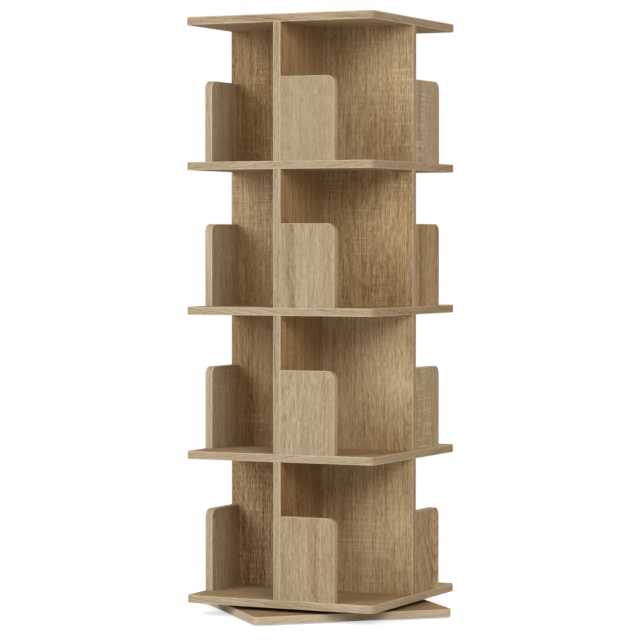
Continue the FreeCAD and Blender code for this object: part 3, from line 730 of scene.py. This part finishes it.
for tier in TIERS:
    for turn, side in enumerate(SIDES):
        upright = f"tier_{tier}_upright_{side}"
        grain = FACING_SIDEWAYS if turn % 2 == 0 else FACING_FORWARD
        figure = FRONT_UPRIGHT_FIGURE_AND_SHADE if side == "front" else UPRIGHT_FIGURE_AND_SHADE
        figure = {**figure, **UPRIGHT_FIGURES_AND_SHADE.get((tier, side), {})}
        upright_place = cut_from_print(upright, *grain)
        dress(upright, oak_finish(upright + "_oak", upright_place, next_heart(), **figure))


# Edging of the uprights: a length of the strip glued down the outer edge of each upright, with
# its ends cut square, just clear of the shelves above and below.

SQUARE_TURN = np.array([[0.0, 1.0, 0.0], [-1.0, 0.0, 0.0], [0.0, 0.0, 1.0]])
STRIP_END_GAP = 0.00015
UPRIGHT_ROLL_STEP = 0.9
UPRIGHT_EDGING_SLANT = 0.03


def to_side(path, outward, upward, turn, start):
    """A strip of the front side carried by quarter turns to another side."""
    spin = np.linalg.matrix_power(SQUARE_TURN, turn)
    return path @ spin, outward @ spin, upward @ spin, start


def upright_strip(tier, turn):
    """Strip down the outer edge of an upright: a straight path between two shelves."""
    low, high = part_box(f"tier_{tier}_upright_front")
    heights = np.array([low.z + STRIP_END_GAP, high.z - STRIP_END_GAP])
    middle = (low.x + high.x) / 2
    path = np.stack([np.full(2, middle), np.full(2, low.y), heights], axis=1)
    outward = np.tile([0.0, -1.0, 0.0], (2, 1))
    upward = np.tile([1.0, 0.0, 0.0], (2, 1))
    return to_side(path, outward, upward, turn, UPRIGHT_ROLL_STEP * turn)


for tier in TIERS:
    edging = f"tier_{tier}_upright_edging"
    strips = [upright_strip(tier, turn) for turn in range(len(SIDES))]
    fit_strip(strip_object(edging, strips, False),
              strip_finish(edging + "_oak", UPRIGHT_EDGING_SLANT), "tower")


# Bookends: low boards beside each upright, flush with the shelf's edge, which keep what is put
# on the shelf from sliding out. Their free top corner is rounded, dowels join them to the
# upright, and two screws from below hold each one down.

BOOKEND_CORNER_RADIUS = 0.020
BOOKEND_FIGURE = dict(rings=0.10, grain=0.9, saw_marks=0.4)
# Tones and warmth are set bookend by bookend to match how bright each is lit: the front ones darker on
# upper tiers, the left ones warmer in the bays' shade. They paint light and shade in part, print in
# part.
LEFT_BOOKEND_FIGURE_AND_SHADE = dict(BOOKEND_FIGURE, tone=0.04, warmth=0.2)
BOOKEND_FIGURES_AND_LIGHT = {
    (4, "front"): dict(rings=0.03, grain=0.7, streaks=0.03, saw_marks=0.1, tone=0.19),
    (3, "front"): dict(rings=0.04, grain=0.8, streaks=0.05, stripe_side=-0.045, stripe_width=0.009,
                       stripe=0.14, saw_marks=0.1, tone=0.13),
    (2, "front"): dict(rings=0.03, grain=1.1, streaks=0.02, saw_marks=0.1, tone=0.08),
    (1, "front"): dict(rings=0.05, grain=1.1, streaks=0.10, stripe_side=0.018, stripe_width=0.011,
                       stripe=0.09, saw_marks=0.1, tone=0.09, warmth=0.2),
    (4, "right"): dict(rings=0.04, grain=1.1, streaks=0.05, stripe_side=-0.045, stripe_width=0.013,
                       stripe=0.12, saw_marks=1.3, tone=-0.03),
    (3, "right"): dict(rings=0.06, grain=1.4, streaks=0.25, stripe_side=-0.03, stripe_width=0.015,
                       stripe=0.14, saw_marks=0.1, tone=0.03, warmth=0.6),
    (2, "right"): dict(rings=0.04, grain=1.2, streaks=0.05, saw_marks=1.1, warmth=0.2),
    (1, "right"): dict(heart_side=0.046, heart_depth=0.06, heart_lean=-0.20, rings=0.24, grain=1.6,
                       streaks=0.10, stripe_side=0.056, stripe_width=0.021, stripe=-0.18, saw_marks=0.1,
                       warmth=0.45),
}
for tier in TIERS:
    for turn, side in enumerate(SIDES):
        bookend = f"tier_{tier}_bookend_{side}"
        grain = FACING_FORWARD if turn % 2 == 0 else FACING_SIDEWAYS
        figure = LEFT_BOOKEND_FIGURE_AND_SHADE if side == "left" else BOOKEND_FIGURE
        figure = BOOKEND_FIGURES_AND_LIGHT.get((tier, side), figure)
        bookend_place = cut_from_print(bookend, *grain)
        dress(bookend, oak_finish(bookend + "_oak", bookend_place, next_heart(), **figure))


# Edging of the bookends: one length of the strip to each, glued up the free end, bent round the
# corner and along the top. It stops just short of the upright.

BOOKEND_ARC_STEPS = 13
BOOKEND_ROLL_STEP = 0.7
BOOKEND_EDGING_SLANT = 0.03
# The bookend edging is printed paler: painted light on the end faces, which face the side in shade.
BOOKEND_EDGING_PAINTED_LIGHT_TONE = -0.11


def bookend_strip(tier, turn):
    """Strip round a bookend: a path up its end, through a quarter arc and along its top."""
    low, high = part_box(f"tier_{tier}_bookend_front")
    angles = np.linspace(0, math.pi / 2, BOOKEND_ARC_STEPS)
    around = np.concatenate([[0], angles, [math.pi / 2]])
    across = high.x - BOOKEND_CORNER_RADIUS * (1 - np.cos(around))
    height = high.z - BOOKEND_CORNER_RADIUS * (1 - np.sin(around))
    height[0] = low.z + STRIP_END_GAP
    across[-1] = low.x + STRIP_END_GAP
    path = np.stack([across, np.full(len(across), (low.y + high.y) / 2), height], axis=1)
    outward = np.stack([np.cos(around), np.zeros(len(around)), np.sin(around)], axis=1)
    upward = np.tile([0.0, -1.0, 0.0], (len(path), 1))
    return to_side(path, outward, upward, turn, BOOKEND_ROLL_STEP * turn)


for tier in TIERS:
    edging = f"tier_{tier}_bookend_edging"
    strips = [bookend_strip(tier, turn) for turn in range(len(SIDES))]
    fit_strip(strip_object(edging, strips, False),
              strip_finish(edging + "_oak", BOOKEND_EDGING_SLANT, BOOKEND_EDGING_PAINTED_LIGHT_TONE), "tower")


# Dowels: fluted beech pins glued into bores in the boards. Long ones go through the middle
# shelves, short ones into the lowest shelf and the top board, and others join bookend and upright.

PALE_BEECH, DARK_BEECH, BEECH_FLECK = (222, 194, 154), (200, 166, 122), (158, 116, 76)
BEECH_SHINE = 0.3
BEECH_ROUGHNESS = (0.62, 0.78)
TONES_PER_METRE = (160, 160, 40)
FLECKS_PER_METRE, FLECK_LIMITS = (900, 900, 260), (0.58, 0.66)
FLECK_SHARE = 0.5
FLECK_DEPTH = 0.0001


def beech_finish():
    """Pale beech with short darker flecks along the grain, left raw."""
    material, tree, shader = plain_finish("dowel_beech", BEECH_SHINE)
    own = own_place(tree)
    flecks = eased(tree, speckle(tree, own, FLECKS_PER_METRE, detail=1.0), *FLECK_LIMITS)
    tone = speckle(tree, own, TONES_PER_METRE, detail=3.0)
    colour = tinted(tree, tone, seen_as(*PALE_BEECH), seen_as(*DARK_BEECH))
    colour = tinted(tree, times(tree, flecks, FLECK_SHARE), colour, seen_as(*BEECH_FLECK))
    roughness = spread(tree, tone, *BEECH_ROUGHNESS)
    finish_with(tree, shader, colour, roughness, flecks, FLECK_DEPTH)
    return material


dowel_beech = beech_finish()
for node in ("through_dowels", "end_dowels", "bookend_dowels"):
    dress(node, dowel_beech)


# Cam bolts and the screws of the bookends: steel, zinc-plated like the other screws. Double bolts
# go through the middle shelves, single ones into the lowest shelf and the top board, and the
# screws go up through the shelves.

for node in ("double_cam_bolts", "single_cam_bolts", "bookend_screws"):
    dress(node, screw_steel)


# Cam locks: drums of die-cast zinc with a slot for the screwdriver, pressed into bores in the
# uprights. A part turn draws in the head of a cam bolt and holds the board down.

DARK_CAST, LIGHT_CAST = (134, 136, 138), (160, 162, 164)
DULL_CAST, RUBBED_CAST = (112, 113, 114), (198, 200, 202)
CAST_ROUGHNESS, CAST_ROUGHER = 0.46, 0.18
CAST_CLOUDS = 0.5
SKIN_PER_METRE = (1600, 1600, 1600)
CAST_DEPTH = 0.0001


def cast_zinc():
    """Dull die-cast zinc, with a coarse cast skin, darker in clouds and bright where rubbed."""
    material, tree, shader = plain_finish("cam_zinc", metal=1.0)
    own = own_place(tree)
    skin = speckle(tree, own, SKIN_PER_METRE, detail=3.0)
    dull, scratch = handled(tree, own)
    colour = tinted(tree, skin, seen_as(*DARK_CAST), seen_as(*LIGHT_CAST))
    colour = tinted(tree, times(tree, dull, CAST_CLOUDS), colour, seen_as(*DULL_CAST))
    colour = tinted(tree, scratch, colour, seen_as(*RUBBED_CAST))
    roughness = summed(tree, times(tree, dull, CAST_ROUGHER), CAST_ROUGHNESS)
    finish_with(tree, shader, colour, roughness, skin, CAST_DEPTH)
    return material


dress("cam_locks", cast_zinc())


# Cover caps: thin discs moulded from plastic in the colour of the oak print, pressed over the
# cam locks so that only the discs show on the uprights.

PALE_CAP, DARK_CAP = (190, 168, 136), (176, 151, 118)
CAP_SHINE = 0.4
CAP_ROUGHNESS = (0.48, 0.62)
SPARKS_PER_METRE, FLOW_PER_METRE = (2600, 2600, 2600), (240, 240, 60)
SPARK_DEPTH = 0.00006


def cap_finish():
    """Oak-coloured plastic with a fine spark-eroded texture and faint flow streaks."""
    material, tree, shader = plain_finish("cap_plastic", CAP_SHINE)
    own = own_place(tree)
    texture = speckle(tree, own, SPARKS_PER_METRE)
    flow = speckle(tree, own, FLOW_PER_METRE, detail=3.0)
    colour = tinted(tree, spread(tree, flow), seen_as(*PALE_CAP), seen_as(*DARK_CAP))
    roughness = spread(tree, texture, *CAP_ROUGHNESS)
    finish_with(tree, shader, colour, roughness, texture, SPARK_DEPTH)
    return material


dress("cam_caps", cap_finish())


# Studio: a pale floor that fades into a white background, a warm room, two large soft lights in
# front, one to each side, and a third behind. The camera stands to the right of the front, above
# the tower's middle. Each light has its turn and height in degrees, its power and its tint.

FLOOR_RADIUS = 12.0
FLOOR_SPOKES, FLOOR_RINGS = 96, 24
FLOOR_FIRST_RING = 0.0005
FADE_START, FADE_END = 0.36, 0.90
FLOOR_COLOUR = (0.76, 0.79, 0.82, 1.0)
FLOOR_LIFT = (0.60, 0.62, 0.65, 1.0)
WHITE = (1, 1, 1, 1)
AMBIENT = 0.26
ROOM_TINT = (1.0, 0.62, 0.31, 1.0)
LIGHT_AIM = Vector((0.0, 0.0, 0.70))
LIGHT_DISTANCE = 5.0
LIGHT_SIDE = 2.4
LIGHTS = {
    "softbox_left": (-30, 20, 124.0, (0.91, 1.0, 1.11)),
    "softbox_right": (43, 25, 117.0, (1.02, 1.02, 1.0)),
    "softbox_behind": (190, 30, 110.0, (1.0, 0.97, 0.93)),
}
CAMERA_TURN = math.radians(25.353)
CAMERA_YAW = math.radians(0.0512)
CAMERA_TILT = math.radians(1.5478)
CAMERA_DISTANCE = 6.5728
CAMERA_HEIGHT = 0.8548
CAMERA_LENS = 158.665
CAMERA_NEAR, CAMERA_FAR = 0.1, 100.0
SENSOR = 36.0
scene = bpy.context.scene


def seen_directly(tree):
    """1 for what the camera sees itself or in a reflection or through glass, otherwise 0."""
    ray = add(tree, "LightPath").outputs
    seen = maths(tree, "MAXIMUM", ray["Is Camera Ray"], ray["Is Glossy Ray"])
    return maths(tree, "MAXIMUM", seen, ray["Is Transmission Ray"])


def floor_disc():
    """Flat disc: rings of points at growing distances from the middle, on a grid of angle and
    distance."""
    turns = np.linspace(0, 2 * math.pi, FLOOR_SPOKES, endpoint=False)
    reach = FLOOR_RADIUS * np.linspace(FLOOR_FIRST_RING, 1, FLOOR_RINGS) ** 2
    angle, distance = np.meshgrid(turns, reach, indexing="ij")
    points = np.stack([distance * np.cos(angle), distance * np.sin(angle), np.zeros_like(angle)], axis=2)
    spoke, ring = np.meshgrid(np.arange(FLOOR_SPOKES), np.arange(FLOOR_RINGS - 1), indexing="ij")
    here = (spoke * FLOOR_RINGS + ring).ravel()
    beside = ((spoke + 1) % FLOOR_SPOKES * FLOOR_RINGS + ring).ravel()
    quads = np.stack([here, here + 1, beside + 1, beside], axis=1)
    middle = np.arange(FLOOR_SPOKES) * FLOOR_RINGS
    mesh = bpy.data.meshes.new("floor")
    mesh.from_pydata(points.reshape(-1, 3), [], quads.tolist() + [middle.tolist()])
    disc = bpy.data.objects.new("floor", mesh)
    scene.collection.objects.link(disc)
    return disc


floor = floor_disc()
floor_paint = bpy.data.materials.new("floor_paint")
floor_paint.use_nodes = True
paint = floor_paint.node_tree
paint.nodes.remove(paint.nodes["Principled BSDF"])
from_middle = add(paint, "VectorMath", {0: own_place(paint)}, operation="LENGTH").outputs["Value"]
matt = add(paint, "BsdfDiffuse", {"Color": FLOOR_COLOUR}).outputs[0]
glow = add(paint, "Emission", {"Color": FLOOR_LIFT, "Strength": seen_directly(paint)}).outputs[0]
lifted = add(paint, "AddShader", {0: matt, 1: glow}).outputs[0]
white = add(paint, "Emission", {"Color": WHITE, "Strength": 1.0}).outputs[0]
fade = times(paint, seen_directly(paint), eased(paint, from_middle, FADE_START, FADE_END))
faded = add(paint, "MixShader", {0: fade, 1: lifted, 2: white}).outputs[0]
from_below = add(paint, "NewGeometry").outputs["Backfacing"]
clear = add(paint, "BsdfTransparent").outputs[0]
open_below = add(paint, "MixShader", {0: from_below, 1: faded, 2: clear}).outputs[0]
paint.links.new(open_below, paint.nodes["Material Output"].inputs["Surface"])
floor.data.materials.append(floor_paint)

sky = bpy.data.worlds.new("studio")
sky.use_nodes = True
scene.world = sky
air = sky.node_tree
air.nodes.remove(air.nodes["Background"])
soft = add(air, "Background", {"Color": ROOM_TINT, "Strength": AMBIENT}).outputs[0]
bare = add(air, "Background", {"Color": WHITE, "Strength": 1.0}).outputs[0]
backdrop = add(air, "MixShader", {0: seen_directly(air), 1: soft, 2: bare}).outputs[0]
air.links.new(backdrop, air.nodes["World Output"].inputs["Surface"])

for name, (turned, raised, power, tint) in LIGHTS.items():
    lamp = bpy.data.lights.new(name, "AREA")
    lamp.shape = "SQUARE"
    lamp.size = LIGHT_SIDE
    lamp.energy = power
    lamp.color = tint
    turned, raised = math.radians(turned), math.radians(raised)
    level = math.cos(raised)
    away = Vector((math.sin(turned) * level, -math.cos(turned) * level, math.sin(raised)))
    softbox = bpy.data.objects.new(name, lamp)
    softbox.location = LIGHT_AIM + away * LIGHT_DISTANCE
    softbox.rotation_euler = (-away).to_track_quat("-Z", "Y").to_euler()
    scene.collection.objects.link(softbox)

lens = bpy.data.cameras.new("camera")
lens.sensor_width = SENSOR
lens.lens = CAMERA_LENS
lens.clip_start, lens.clip_end = CAMERA_NEAR, CAMERA_FAR
camera = bpy.data.objects.new("camera", lens)
camera_side, camera_front = math.sin(CAMERA_TURN), -math.cos(CAMERA_TURN)
camera.location = (CAMERA_DISTANCE * camera_side, CAMERA_DISTANCE * camera_front, CAMERA_HEIGHT)
camera.rotation_euler = (math.pi / 2 - CAMERA_TILT, 0, CAMERA_TURN + CAMERA_YAW)
scene.collection.objects.link(camera)
scene.camera = camera
scene.view_settings.view_transform = "Standard"
